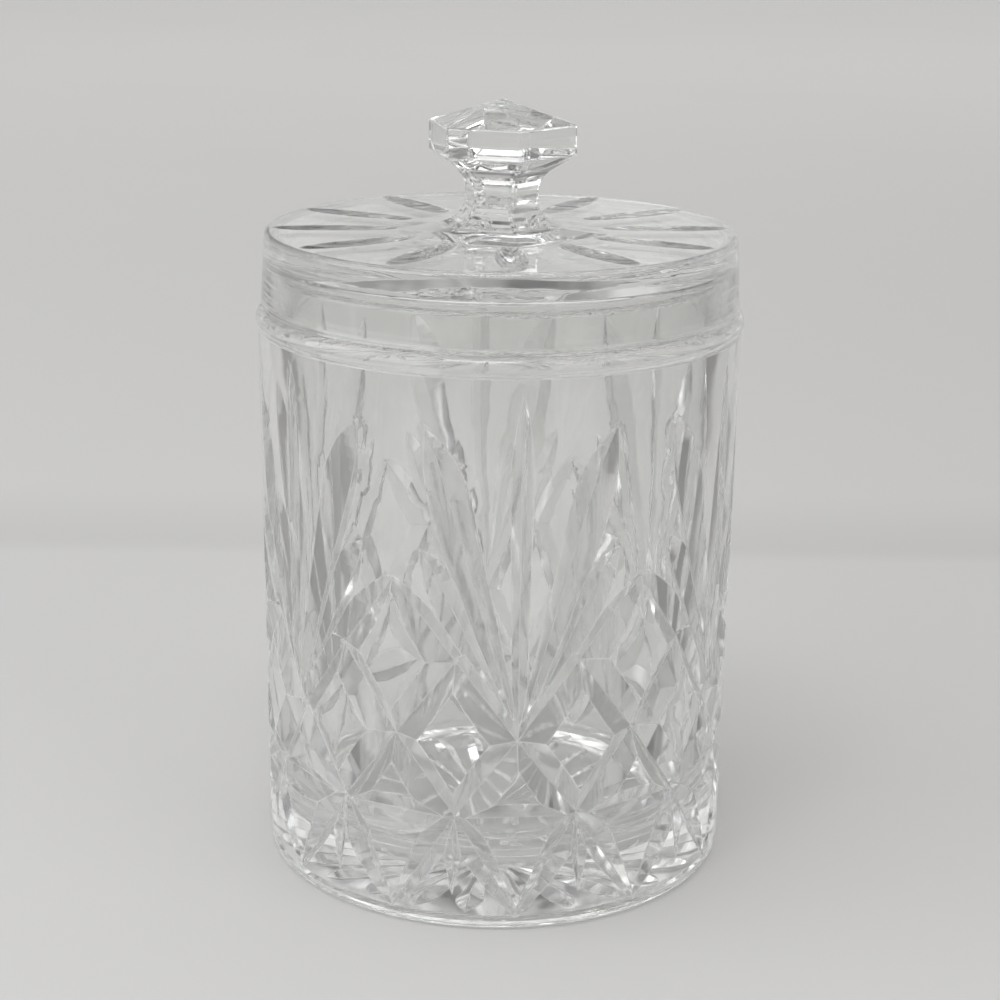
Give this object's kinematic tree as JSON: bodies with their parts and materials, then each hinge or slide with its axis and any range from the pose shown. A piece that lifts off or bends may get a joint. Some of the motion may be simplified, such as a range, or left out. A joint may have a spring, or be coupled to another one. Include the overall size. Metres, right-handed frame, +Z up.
{
  "type": "biscuit jar",
  "caption": "Round lidded biscuit jar in clear cut glass, with a plain neck, a bead that the lid rests on, and a drop-on lid with a hexagonal knob.",
  "frame": {"origin": "centre of the standing ring, on the surface the jar stands on", "axes": "+Z up along the axis of the jar; -Y faces the viewer, +X to the viewer's right"},
  "size_m": [0.13, 0.13, 0.2069],
  "materials": {
    "jar_glass": "polished clear lead crystal",
    "lid_glass": "polished clear lead crystal"
  },
  "bodies": {
    "jar": {"jar": "jar_glass"},
    "lid": {"lid": "lid_glass"}
  },
  "joints": [
    {"name": "lid_lift", "type": "slide", "parent": "jar", "child": "lid", "axis": [0, 0, 1], "range_m": [0, 0.06]}
  ]
}
